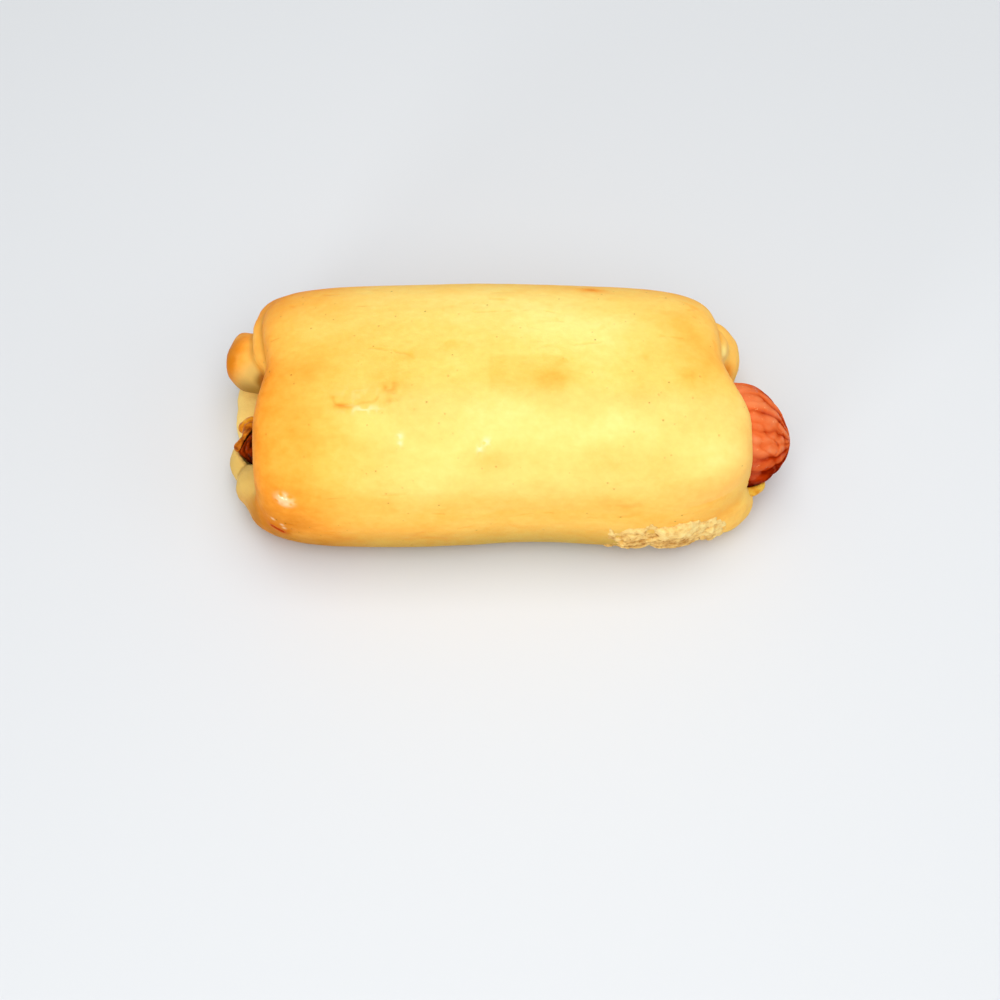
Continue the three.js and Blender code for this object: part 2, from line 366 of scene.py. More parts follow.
def dough_relief(p, from_wrap):
    """Height of the small relief on the crust, mm."""
    x, y, z = p.T
    on_top = z > TOP_Z
    on_folds = smoothstep(from_wrap, 0.5, 2.5)
    stretched = smoothstep(z, 30, 40) * smoothstep(y, -6, 8) * smoothstep(x, -44, -26)
    below_crack = spot(x, y, (-34.8, -12.2), (4.2, 1.7)) * on_top
    lumpy = 0.30 * medium(p + 9, (5, 4, 4)) + 0.12 * rough.ridged(p, (3.5, 2.5, 2.5))
    height = 0.28 * broad.layered(p, 19, 2) + 0.09 * medium(p, 6.0) + 0.03 * rough.ridged(p, (5.0, 3.0, 3.0))
    height += on_folds * lumpy
    height += 0.10 * stretched * fine(p, (16, 2.6, 2.6))
    height += blister_of(p) * (0.12 + 0.18 * rough.ridged(p, (2.4, 1.7, 2.2)))
    height -= 0.30 * crack_of(p, 0.32)
    height += 0.24 * cluster_of(p) * rough.ridged(p, (1.8, 1.3, 2))
    height += 0.18 * below_crack * rough.ridged(p, (1.8, 1.2, 2))
    height += glossy_of(p) * (0.40 + 0.16 * rough.ridged(p, (1.2, 1.0, 1.0)))
    split = from_split(p)
    height += 0.45 * bell(split / 1.5) - 0.6 * bell(split / 0.4)
    for at_x, at_y, size in PUCKERS:
        height += 0.24 * bell(np.hypot(x - at_x, y - at_y) / size) * rough.ridged(p, 1.1) * on_top
    return height


def dough_depth(p):
    """Distance from the finished roll's surface, negative inside the dough."""
    wrap = wrap_depth(p)
    depth = wrap
    toward_front = smoothstep(-p[:, 1], 17, 24)
    sharp = 1.2
    for name, (at, radii, power, turn, crease) in [*LEFT_FOLDS.items(), *RIGHT_FOLDS.items()]:
        width = sharp + (crease - sharp) * toward_front if name == "corner" else crease
        depth = smooth_min(depth, lump_depth(p, at, radii, power, turn), width)
    near = np.abs(depth) < RELIEF_REACH
    depth[near] -= dough_relief(p[near], wrap[near])
    depth = smooth_max(depth, 0.3 - sausage_depth(p), 0.4)
    return smooth_max(depth, -p[:, 2], 0.9)


# ---- Meshes from fields ----
def surface_net(field, xs, ys, zs):
    """Vertices and quads of the surface where field is 0, facing outwards."""
    axes = (xs, ys, zs)
    grid = np.stack(np.meshgrid(*axes, indexing="ij"), axis=-1)
    value = field(grid.reshape(-1, 3)).reshape(grid.shape[:3])
    cells = tuple(n - 1 for n in value.shape)
    total = np.zeros((*cells, 3))
    count = np.zeros(cells)
    crossings = []
    for axis in range(3):
        low = [slice(None)] * 3
        high = [slice(None)] * 3
        low[axis], high[axis] = slice(None, -1), slice(1, None)
        v0, v1 = value[tuple(low)], value[tuple(high)]
        crosses = (v0 < 0) != (v1 < 0)
        t = np.where(crosses, v0 / np.where(crosses, v0 - v1, 1), 0)
        point = grid[tuple(low)] + t[..., None] * (grid[tuple(high)] - grid[tuple(low)])
        point *= crosses[..., None]
        others = [a for a in range(3) if a != axis]
        for i in (0, 1):
            for j in (0, 1):
                part = [slice(None)] * 3
                part[others[0]] = slice(i, i + cells[others[0]])
                part[others[1]] = slice(j, j + cells[others[1]])
                total += point[tuple(part)]
                count += crosses[tuple(part)]
        crossings.append((crosses, v0 < 0))
    used = count > 0
    index = -np.ones(cells, int)
    index[used] = np.arange(used.sum())
    vertices = total[used] / count[used][:, None]
    quads = []
    for axis, (crosses, inside) in enumerate(crossings):
        a, b = (axis + 1) % 3, (axis + 2) % 3
        place = np.array(np.nonzero(crosses)).T
        inner_a = (place[:, a] > 0) & (place[:, a] < cells[a])
        inner_b = (place[:, b] > 0) & (place[:, b] < cells[b])
        place = place[inner_a & inner_b]
        step_a, step_b = np.eye(3, dtype=int)[a], np.eye(3, dtype=int)[b]
        around = [place - step_a - step_b, place - step_b, place, place - step_a]
        quad = np.stack([index[tuple(c.T)] for c in around], axis=1)
        leaving = inside[tuple(place.T)]
        quads.append(np.where(leaving[:, None], quad, quad[:, ::-1]))
    return vertices, np.concatenate(quads)


def settle(field, p, rounds=3, reach=0.6):
    """Moves points along the field's slope onto its surface, by at most reach in each round."""
    eps = 0.04
    for _ in range(rounds):
        slope = np.stack([(field(p + d) - field(p - d)) / (2 * eps) for d in np.eye(3) * eps], axis=1)
        steepness = np.maximum((slope**2).sum(axis=1), 0.05)
        step = field(p)[:, None] * slope / steepness[:, None]
        length = np.linalg.norm(step, axis=1, keepdims=True)
        p = p - step * np.minimum(1, reach / np.maximum(length, 1e-9))
    return p


def edges_of(triangles):
    return np.concatenate([triangles[:, [0, 1]], triangles[:, [1, 2]], triangles[:, [2, 0]]])


def relax(p, triangles, share=0.5):
    """Moves each point part of the way to the middle of its neighbours."""
    edges = edges_of(triangles)
    total = np.zeros_like(p)
    count = np.zeros(len(p))
    for a, b in ((0, 1), (1, 0)):
        for axis in range(3):
            total[:, axis] += np.bincount(edges[:, a], p[edges[:, b], axis], len(p))
        count += np.bincount(edges[:, a], minlength=len(p))
    return p + share * (total / count[:, None] - p)


def refine(p, triangles, wanted):
    """Splits every edge whose middle is wanted, and the triangles on it, keeping the mesh closed."""
    edges, which = np.unique(np.sort(edges_of(triangles), axis=1), axis=0, return_inverse=True)
    which = which.reshape(3, -1).T
    middles = p[edges].mean(axis=1)
    split = wanted(middles)
    number = -np.ones(len(edges), int)
    number[split] = len(p) + np.arange(split.sum())
    p = np.concatenate([p, middles[split]])
    mid = number[which]
    cut = mid >= 0
    out = [triangles[~cut.any(axis=1)]]
    whole = cut.all(axis=1)
    t, m = triangles[whole], mid[whole]
    for k in range(3):
        out.append(np.stack([t[:, k], m[:, k], m[:, k - 1]], axis=1))
    out.append(m)
    for k in range(3):
        n, l = (k + 1) % 3, (k + 2) % 3
        one = cut[:, k] & ~cut[:, n] & ~cut[:, l]
        t, m = triangles[one], mid[one]
        out.append(np.stack([t[:, k], m[:, k], t[:, l]], axis=1))
        out.append(np.stack([m[:, k], t[:, n], t[:, l]], axis=1))
        two = cut[:, k] & cut[:, n] & ~cut[:, l]
        t, m = triangles[two], mid[two]
        out.append(np.stack([m[:, k], t[:, n], m[:, n]], axis=1))
        out.append(np.stack([t[:, k], m[:, k], m[:, n]], axis=1))
        out.append(np.stack([t[:, k], m[:, n], t[:, l]], axis=1))
    return p, np.concatenate(out)


def field_mesh(field, low, high, step, wanted=()):
    """A closed triangle mesh on the field's surface, split finer where each of wanted says so, in turn."""
    axes = [np.arange(a, b + step, step) for a, b in zip(low, high)]
    p, quads = surface_net(field, *axes)
    triangles = np.concatenate([quads[:, [0, 1, 2]], quads[:, [0, 2, 3]]])
    p = settle(field, relax(p, triangles))
    for region in wanted:
        p, triangles = refine(p, triangles, region)
        p = settle(field, relax(p, triangles, 0.3), 2)
    return p, triangles


def make_piece(name, p, faces, attributes, material, node=None):
    """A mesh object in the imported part's frame, in metres, with one number per vertex for each attribute."""
    mesh = bpy.data.meshes.new(name)
    size = faces.shape[1]
    mesh.vertices.add(len(p))
    mesh.vertices.foreach_set("co", ((p + SHIFT) / 1000).astype(np.float32).ravel())
    mesh.loops.add(faces.size)
    mesh.loops.foreach_set("vertex_index", faces.astype(np.int32).ravel())
    mesh.polygons.add(len(faces))
    mesh.polygons.foreach_set("loop_start", np.arange(0, faces.size, size, dtype=np.int32))
    mesh.polygons.foreach_set("use_smooth", np.ones(len(faces), bool))
    mesh.update(calc_edges=True)
    mesh.validate()
    for key, values in attributes.items():
        mesh.attributes.new(key, "FLOAT", "POINT").data.foreach_set("value", np.asarray(values, np.float32))
    mesh.materials.append(material)
    piece = bpy.data.objects.new(name, mesh)
    bpy.context.scene.collection.objects.link(piece)
    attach(piece, "root")
    if node:
        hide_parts(node)
    return piece


# ---- Materials ----
def linear(red, green, blue):
    """A display colour from 0 to 255 as the linear colour that nodes take."""
    channels = [c / 255 for c in (red, green, blue)]
    return tuple(c / 12.92 if c <= 0.04045 else ((c + 0.055) / 1.055) ** 2.4 for c in channels) + (1.0,)


class Shader:
    """A new node material with short ways to add and join nodes."""

    def __init__(self, name):
        self.material = bpy.data.materials.new(name)
        self.material.use_nodes = True
        self.tree = self.material.node_tree
        self.surface = self.tree.nodes["Principled BSDF"]

    def node(self, kind, inputs=None, **settings):
        node = self.tree.nodes.new(kind)
        for key, value in settings.items():
            setattr(node, key, value)
        for key, value in (inputs or {}).items():
            self.feed(node.inputs[key], value)
        return node

    def feed(self, socket, value):
        if isinstance(value, bpy.types.NodeSocket):
            self.tree.links.new(value, socket)
        else:
            socket.default_value = value

    def set(self, **values):
        for key, value in values.items():
            self.feed(self.surface.inputs[key.replace("_", " ")], value)

    def attribute(self, name):
        return self.node("ShaderNodeAttribute", attribute_name=name).outputs["Fac"]

    def point(self):
        return self.node("ShaderNodeTexCoord").outputs["Object"]

    def noise(self, size_mm, detail=3.0, stretch=(1, 1, 1)):
        """Noise from 0 to 1 with features of that size."""
        scaled = self.node("ShaderNodeMapping", {"Vector": self.point(), "Scale": stretch})
        return self.node(
            "ShaderNodeTexNoise",
            {"Vector": scaled.outputs["Vector"], "Scale": 1000 / size_mm, "Detail": detail},
        ).outputs["Fac"]

    def math(self, operation, a, b=0.0):
        return self.node("ShaderNodeMath", {0: a, 1: b}, operation=operation).outputs[0]

    def add(self, a, b):
        return self.math("ADD", a, b)

    def times(self, a, b):
        return self.math("MULTIPLY", a, b)

    def wobble(self, amount, *noise):
        """Noise either side of 0, of that whole range."""
        return self.times(self.math("SUBTRACT", self.noise(*noise), 0.5), amount)

    def span(self, value, low, high, to_low=0.0, to_high=1.0):
        """Value taken smoothly from the range low to high onto the other one."""
        inputs = {"Value": value, "From Min": low, "From Max": high, "To Min": to_low, "To Max": to_high}
        return self.node("ShaderNodeMapRange", inputs, interpolation_type="SMOOTHSTEP").outputs["Result"]

    def ramp(self, value, *stops):
        node = self.node("ShaderNodeValToRGB", {"Fac": value})
        elements = node.color_ramp.elements
        while len(elements) < len(stops):
            elements.new(0.5)
        for element, (position, color) in zip(elements, stops):
            element.position = position
            element.color = color
        return node.outputs["Color"]

    def mix(self, share, a, b, blend="MIX"):
        node = self.node("ShaderNodeMix", data_type="RGBA", blend_type=blend)
        # The node's sockets share their names, so they go by number: the share, and the two colours.
        for number, value in ((0, share), (6, a), (7, b)):
            self.feed(node.inputs[number], value)
        return node.outputs[2]

    def bump(self, height, distance_mm, strength=1.0, normal=None):
        inputs = {"Height": height, "Distance": distance_mm / 1000, "Strength": strength}
        if normal is not None:
            inputs["Normal"] = normal
        return self.node("ShaderNodeBump", inputs).outputs["Normal"]

    def scatter(self, weight, radius, scale_mm, specular):
        """Light that passes through the outer skin, and how strongly the bare skin reflects."""
        self.set(Subsurface_Weight=weight, Subsurface_Radius=radius, Subsurface_Scale=scale_mm / 1000)
        self.surface.inputs["Specular IOR Level"].default_value = specular


# Distance between the crust's pores, mm.
PORE_SPACING = 2.9


def crust_material():
    s = Shader("glazed_crust")
    bake = s.add(s.attribute("bake"), s.wobble(0.40, 8, 4, (0.6, 1, 1)))
    bake = s.add(bake, s.wobble(0.24, 1.9, 4, (0.9, 1, 1)))
    off_line = s.math("ABSOLUTE", s.math("SUBTRACT", s.noise(8, 1, (0.22, 1, 1)), 0.5))
    wrinkle = s.times(s.span(off_line, 0.005, 0.03, 1.0, 0.0), s.span(s.noise(6.5, 2), 0.52, 0.62))
    wrinkle = s.times(wrinkle, s.attribute("wrinkled"))
    bake = s.add(bake, s.times(wrinkle, 0.09))
    color = s.ramp(
        bake,
        (0.0, linear(255, 230, 136)),
        (0.25, linear(255, 211, 108)),
        (0.5, linear(255, 190, 82)),
        (0.75, linear(252, 165, 56)),
        (1.0, linear(230, 132, 16)),
    )
    color = s.mix(s.attribute("raw"), color, linear(251, 212, 120))
    # Painted shade in the creases and under the folds, and the real browning round the base, mixed in as one
    # brown.
    color = s.mix(s.attribute("tan"), color, linear(170, 120, 36))
    # Painted shade: the colour darkened and made greener where shade falls.
    color = s.mix(s.attribute("painted_shade"), color, (0.56, 0.67, 0.74, 1), "MULTIPLY")
    # Pale flakes and strip, and painted highlights where the crust shines.
    color = s.mix(s.attribute("cream_and_highlights"), color, linear(255, 238, 186))
    # The split's scorched red, and painted shade in the small hole under the left lip.
    color = s.mix(s.attribute("split_scorch_and_hole_shade"), color, linear(178, 58, 6))
    grid = {"Vector": s.point(), "Scale": 1000 / PORE_SPACING, "Randomness": 1.0}
    from_pore = s.node("ShaderNodeTexVoronoi", grid).outputs["Distance"]
    pore = s.span(from_pore, 0.04, 0.12, 1.0, 0.0)
    pore = s.times(pore, s.span(s.noise(11, 1), 0.40, 0.58))
    pore_strength = s.span(s.noise(7, 1), 0.3, 0.7, 0.15, 0.48)
    color = s.mix(s.times(pore, pore_strength), color, linear(84, 90, 14))
    normal = s.bump(s.noise(2.6, 3, (0.8, 1, 1)), 0.28)
    normal = s.bump(s.noise(0.7, 3), 0.07, 1.0, normal)
    normal = s.bump(pore, -0.12, 1.0, normal)
    normal = s.bump(wrinkle, -0.07, 1.0, normal)
    s.set(Base_Color=color, Roughness=s.span(s.noise(5, 3), 0.3, 0.7, 0.48, 0.60), Normal=normal)
    s.scatter(0.08, (1.0, 0.55, 0.2), 1.2, specular=0.05)
    s.set(Coat_Weight=s.attribute("gloss"), Coat_Roughness=0.2)
    return s.material


def crumb_material():
    s = Shader("torn_crumb")
    # Lighter on raised shards and darker in holes, as painted light and shade, over the crumb's own tones.
    color = s.ramp(
        s.add(s.attribute("height"), s.wobble(1.1, 1.3, 3)),
        (0.0, linear(188, 130, 52)),
        (0.25, linear(224, 174, 92)),
        (0.5, linear(246, 204, 120)),
        (1.0, linear(255, 227, 148)),
    )
    toasted = s.span(s.noise(3.2, 2), 0.60, 0.70)
    color = s.mix(s.times(toasted, 0.5), color, linear(248, 184, 74))
    normal = s.bump(s.noise(0.6, 4), 0.22)
    s.set(Base_Color=color, Roughness=0.7, Normal=normal)
    s.scatter(0.05, (1.0, 0.6, 0.3), 1.2, specular=0.3)
    return s.material


def sausage_material():
    s = Shader("sausage_skin")
    # The skin's colour runs from dark to light with its painted light and shade.
    color = s.ramp(
        s.add(s.attribute("painted_shading"), s.wobble(0.45, 3.0, 4, (0.35, 1, 1))),
        (0.0, linear(124, 22, 0)),
        (0.25, linear(178, 50, 6)),
        (0.55, linear(226, 104, 50)),
        (1.0, linear(248, 158, 104)),
    )
    patches = s.span(s.noise(5.0, 3), 0.52, 0.66)
    color = s.mix(s.times(patches, 0.28), color, linear(226, 112, 74))
    # Painted glints: small light-gold specks in the skin's colour.
    painted_glints = s.times(s.span(s.noise(0.9, 2), 0.64, 0.72), s.span(s.noise(6, 2), 0.45, 0.6))
    color = s.mix(s.times(painted_glints, 0.4), color, linear(255, 190, 124))
    # The left end's char, darker in its deeper dents as painted shade.
    charred_with_dent_shade = s.ramp(
        s.add(s.attribute("dent"), s.wobble(0.8, 1.4, 4)),
        (0.15, linear(58, 12, 0)),
        (0.45, linear(140, 44, 4)),
        (0.8, linear(226, 110, 46)),
    )
    color = s.mix(s.attribute("char"), color, charred_with_dent_shade)
    normal = s.bump(s.noise(1.2, 3), 0.14)
    normal = s.bump(s.noise(0.35, 2), 0.03, 1.0, normal)
    s.set(Base_Color=color, Roughness=s.span(s.noise(2, 2), 0.3, 0.7, 0.32, 0.46), Normal=normal)
    s.scatter(0.06, (1.0, 0.3, 0.15), 1.5, specular=0.0)
    glint = s.times(s.span(s.noise(1.6, 3), 0.56, 0.64, 0.0, 0.5), s.span(s.attribute("painted_shading"), 0.15, 0.5))
    s.set(Coat_Weight=glint, Coat_Roughness=0.2)
    return s.material


def cheese_material():
    s = Shader("melted_cheese")
    color = s.ramp(
        s.add(s.attribute("bake"), s.wobble(0.8, 1.4, 3)),
        (0.0, linear(248, 200, 70)),
        (0.35, linear(236, 160, 34)),
        (0.7, linear(206, 116, 18)),
        (1.0, linear(140, 64, 6)),
    )
    normal = s.bump(s.noise(0.9, 3), 0.18)
    s.set(Base_Color=color, Roughness=0.34, Normal=normal)
    s.scatter(0.1, (1.0, 0.5, 0.15), 1.5, specular=0.05)
    s.set(Coat_Weight=s.span(s.noise(1.5, 3), 0.52, 0.60, 0.0, 0.4), Coat_Roughness=0.2)
    return s.material


# ---- Dough piece ----
def near_ends(p):
    """Where the folds of the two ends show: not along the sausage, and not on the base."""
    x, _, z = p.T
    return (sausage_depth(p) > 1.2) & (z > 0.3) & ((x < -50) | (x > 45))


def finely_marked(p):
    """Where the crust has details finer than a millimetre."""
    x, y, z = p.T
    blister = (np.abs(x + 34.5) < 11) & (np.abs(y + 9) < 6.5) & (z > TOP_Z)
    glossy = (np.abs(x + 55) < 6) & (y < -23) & (z > 9) & (z < 32)
    puckers = (np.hypot(x + 6, y + 19.8) < 3.4) | (np.hypot(x + 26.1, y + 18.6) < 3.2)
    return blister | glossy | (puckers & (z > TOP_Z))


# Darker and paler places on the upper crust: x and y, sizes along both, and how much browner.
TOP_MARKS = (
    (8, -15.5, 40, 7.5, -0.06),
    (38, -18, 8, 10, 0.12),
    (-38, -21, 10, 5, 0.10),
    (-14, 13, 9, 4, -0.08),
    (-29, -10, 17, 13, 0.17),
    (24, -24, 20, 4.5, 0.16),
    (-54, 14, 12, 10, -0.24),
    (0, 19, 21, 8, -0.13),
    (41, 18, 9, 5, 0.15),
    (16, 9.5, 17, 7, -0.17),
    (-36, 8, 22, 13, 0.10),
    (-50, -6, 10, 9, 0.06),
    (49, 8, 10, 17, 0.26),
    (31.8, -7.5, 3.6, 3.2, 0.20),
    (44.5, -1.2, 2.4, 1.6, 0.16),
    (11.4, -3.8, 4.2, 2.6, 0.16),
    (-24, 3, 3, 1.2, 0.10),
    (46, 11, 2.4, 1.6, 0.10),
    (-5.8, -22.6, 6, 2, 0.12),
    (26, -14, 3, 3, -0.08),
    (-38, -9, 5, 3, 0.08),
    (-40.8, -10.3, 1.6, 0.8, 0.20),
    (-33.4, -14.8, 7, 3.2, -0.12),
    (21.4, 26.7, 3.2, 1.2, 0.55),
    (8, 6, 10, 3, 0.12),
    (6, -9, 8, 3, 0.08),
    (22, -9, 7, 4, 0.09),
    (3, -20.5, 13, 3, 0.09),
    (-31, -29, 5, 3, 0.12),
)


def bake_of(p):
    """How brown the crust is, from 0, pale yellow, to 1, brown."""
    x, y, z = p.T
    top = z > UPPER_Z
    left_part, left_edge = smoothstep(-x, 31, 60), smoothstep(-x, 55, 62)
    right_edge = smoothstep(x, 53, 61) * smoothstep(y, -22, -12)
    shoulders = smoothstep(-z, -36, -29) * smoothstep(x, -62, -40)
    # The walls turn browner lower down, partly as real browning and partly as painted shade.
    walls = smoothstep(-z, -26, -12)
    left_walls = walls * smoothstep(-x, 0, 30)
    back = smoothstep(y, 20, 30)
    round_glossy_spot = spot(x, z, (-52, 24), (8, 10)) * smoothstep(-y, 18, 25)
    bake = 0.24 + 0.46 * left_part + 0.12 * left_edge + 0.13 * right_edge
    bake += 0.18 * shoulders + 0.06 * walls + 0.12 * left_walls + 0.14 * back + 0.10 * round_glossy_spot
    bake += 0.09 * broad.layered(p, (22, 10, 10), 2) + 0.05 * medium(p, (9, 5, 5))
    for at_x, at_y, size_x, size_y, amount in TOP_MARKS:
        bake += amount * spot(x, y, (at_x, at_y), (size_x, size_y)) * top
    # The straight-edged darker patch in the middle of the top.
    patch = smoothstep(x, -5.8, -4.2) * smoothstep(-x, -17, -12)
    patch *= smoothstep(y, -9.5, -5) * smoothstep(-y, -3.6, -2.4)
    bake += 0.13 * patch * top
    line, stain = crack_of(p, 0.42), crack_of(p, 1.3)
    bake += 0.34 * line + 0.12 * stain
    bake += 0.30 * cluster_of(p) * smoothstep(medium(p, (1.5, 1.1, 2)), -0.5, 0.5)
    return bake


def view_up(p):
    """Height in the picture, mm from the picture's middle."""
    return UP_PER_Y * (p[:, 1] - PHOTO_TARGET[1]) + UP_PER_Z * (p[:, 2] - PHOTO_TARGET[2])


def fold_of(p):
    """Share of shade in the creases between the wrap's folds."""
    shade = np.zeros(len(p))
    for folds, side in ((LEFT_FOLDS, p[:, 0] < LEFT_END_X + 2), (RIGHT_FOLDS, p[:, 0] > RIGHT_END_X)):
        creased = [name for name in folds if name not in ("corner", "nub", "root")]
        depths = np.stack([wrap_depth(p)] + [fold_depth(p, folds[name]) for name in creased])
        nearest, second = np.sort(depths, axis=0)[:2]
        shade = np.maximum(shade, bell(second - nearest) * bell(nearest / 1.2) * side)
    return shade


# Small places in the left end as the picture shows them: middle and size over X and height in the picture.
LIP_SHADOW = ((-63.8, 30.0), (2.0, 2.6))
# A small hole under the left lip, painted dark as shade.
PIT_SHADE = ((-62.9, 30.6), (1.0, 2.2))
# Places in the right end, likewise.
# The hollow under the right lip: browned, and darkened further as painted shade.
RIGHT_SHADED_POCKET = ((56.6, 33.4), (1.6, 2.2))
# The strip in the right end is paler: partly its own pale dough, partly painted light against the shade there.
RIGHT_STRIP = ((54.8, 37.6), (1.5, 2.2))
# The crease at the right front corner, lightened as painted light against the shade there.
PAINTED_LIGHT_CORNER = ((60, 1.5), (2.5, 2.5))
# Height below which those places lie, so that the top layer over them keeps its colour.
UNDER_LIP_Z = 31


class Regions:
    """Shares from 0 to 1 of the crust's regions at each point; split is the distance to the split.

    inner is the dough under the lips, layer, bulb and corner are folds of the left end, and lobe is the folds
    there in front of the sausage.
    """

    def __init__(self, p):
        x, y, z = p.T
        up = view_up(p)
        self.at_left, self.at_right = x < LEFT_END_X, x > RIGHT_END_X
        self.inner = smoothstep(wrap_depth(p), 0.3, 1.4) * (self.at_left | self.at_right)
        self.inside_mouth = smoothstep(-mouth_depth(p), -0.6, 0.6)
        self.layer = bell(fold_depth(p, LEFT_FOLDS["layer"]) / 0.8) * self.at_left
        from_bulb = np.minimum(fold_depth(p, LEFT_FOLDS["bulb"]), fold_depth(p, LEFT_FOLDS["nub"]))
        self.bulb = bell(from_bulb / 0.9) * self.at_left * (1 - self.layer)
        across_bulb = 0.78 * (x + 66) - 0.62 * (up - 36.5) + 0.8 * medium(p, 4)
        self.pale_bulb = self.bulb * smoothstep(across_bulb, -3.0, 3.5)
        # Painted shade on the bulb's lower side, which faces down, away from the light.
        under_bulb = -(UP_PER_Y * (y - 16) + UP_PER_Z * (z - 18))
        self.bulb_underside_shade = self.bulb * smoothstep(under_bulb, 3.5, 7.5)
        self.lobe = smoothstep(-y, 0, 5) * smoothstep(-up, -16, -10) * self.inner * self.at_left
        self.corner = smoothstep(-y, 20, 26) * self.at_left
        self.split = from_split(p)
        under_lip = z < UNDER_LIP_Z
        self.pit_shade = spot(x, up, *PIT_SHADE) * under_lip
        self.strip = spot(x, up, *RIGHT_STRIP) * under_lip
        self.shaded_pocket = spot(x, up, *RIGHT_SHADED_POCKET) * (z < 30) * self.inner


def browning_of(p, on):
    """The bake attribute: browner on the bulb's outer side, paler on the layers beside it. It is browner in
    the hollow under the right lip, paler on the strip there, partly as painted light, and paler in the crease
    at the right front corner as painted light.
    """
    x = p[:, 0]
    bake = bake_of(p) * (1 - on.bulb) + on.bulb * (0.62 + 0.45 * smoothstep(-x, 65.5, 71.5))
    bake -= 0.16 * on.layer + 0.10 * on.inner * on.at_right + 0.2 * spot(x, view_up(p), *PAINTED_LIGHT_CORNER)
    return bake + 0.6 * on.shaded_pocket - 0.6 * on.strip + 0.5 * bell(on.split / 1.5)


def rawness_of(p, on):
    """The raw attribute: pale dough that the oven's heat didn't brown."""
    open_fold = on.inner * (1 - on.layer) * (1 - on.bulb) * (1 - on.corner)
    raw = np.maximum(open_fold, on.inside_mouth * (1 - on.inner))
    raw = np.maximum(raw * np.where(on.at_right, 0.05, 1), 0.75 * on.pale_bulb)
    toward_front = smoothstep(-view_up(p), -4, 2) * on.at_left
    toward_back = smoothstep(p[:, 1], 17, 25)
    return raw * (1 - 0.5 * toward_front) * (1 - 0.85 * toward_back)


def shade_and_base_browning_of(p, on):
    """The painted shade and browning attribute: painted shade in the creases between folds, under the bulb and
    on its pale side, under the left lip, in a small hole there and over the lobe, plus the real browning round
    the base.
    """
    x, _, z = p.T
    up = view_up(p)
    high = smoothstep(up, 46, 50) * on.at_left
    creases = 0.75 * fold_of(p) * (1 - high) * (1 - 0.65 * on.layer)
    tan = np.maximum(0.70 * on.bulb_underside_shade + 0.22 * on.pale_bulb, creases)
    tan = np.maximum(tan, 0.85 * spot(x, up, *LIP_SHADOW) * (z < UNDER_LIP_Z))
    tan = np.maximum(tan, on.lobe * (0.38 + 0.25 * bell((up + 16) / 3.5)))
    tan = tan * np.where(on.at_right, 0.15, 1)
    base_edge = smoothstep(-z, -0.8, 0.1)
    return np.clip(np.maximum(tan, 0.6 * base_edge) + on.pit_shade, 0, 1)


def painted_shade_of(p, on):
    """The painted shade attribute: the colour darkened and made duller and greener where shade falls: low on
    the walls, at the left corner, over the lobe, on the bulb's pale side and tip, below the glossy spot and in
    the hollow under the right lip.
    """
    x, y, z = p.T
    fold_in_view = on.inner * (1 - smoothstep(y, 15, 22))
    walls = smoothstep(-z, -22, -8) * (1 - fold_in_view) * (1 - 0.9 * smoothstep(x, 38, 50))
    left_corner = smoothstep(-x, 58, 64) * smoothstep(-y, 19, 26) * (z < UPPER_Z)
    below_glossy_spot = smoothstep(-x, 42, 54) * smoothstep(-z, -29, -19) * smoothstep(-y, 19, 25)
    bulb_tip = on.bulb * smoothstep(-x, 68.5, 72.5)
    shares = (
        walls,
        0.45 * left_corner,
        0.10 * on.lobe,
        0.45 * on.pale_bulb,
        0.32 * below_glossy_spot,
        0.40 * bulb_tip,
    )
    return np.clip(np.maximum.reduce(shares) + 0.4 * on.shaded_pocket, 0, 1)


def puckers_of(p):
    """Share of the tiny puckers on top, whose pale ridges are partly painted highlight."""
    share = np.zeros(len(p))
    for at_x, at_y, size in PUCKERS:
        share += bell(np.hypot(p[:, 0] - at_x, p[:, 1] - at_y) / (0.8 * size)) * (p[:, 2] > TOP_Z)
    return share * smoothstep(rough.ridged(p, 1.1), -0.1, 0.6)


def glaze_and_highlight_of(p):
    """Share of the shiny, wrinkled spot and the dots round the split: they get a glossy coat, and their colour
    is lightened there as a painted highlight.
    """
    x, y, z = p.T
    glaze_and_highlight = glossy_of(p) * smoothstep(rough.ridged(p, (1.2, 1.0, 1.0)), -0.9, 0.5)
    for dot_x, dot_z in SPLIT_DOTS:
        dot = bell(np.hypot(x - dot_x, z - dot_z) / 0.45) * (y < FRONT_WALL_Y)
        glaze_and_highlight = np.maximum(glaze_and_highlight, dot)
    return glaze_and_highlight


def blister_flakes(p):
    """Share of the pale flakes of skin on the blister and below its crack; their paleness is partly painted
    highlight.
    """
    x, y, z = p.T
    share = spot(x, y, (-35.0, -11.3), (3.8, 1.0)) + 0.25 * spot(x, y, (-36.5, -7.6), (5, 1.8))
    return share * smoothstep(rough.ridged(p, (2.0, 1.3, 2)), 0.1, 0.8) * (z > TOP_Z)


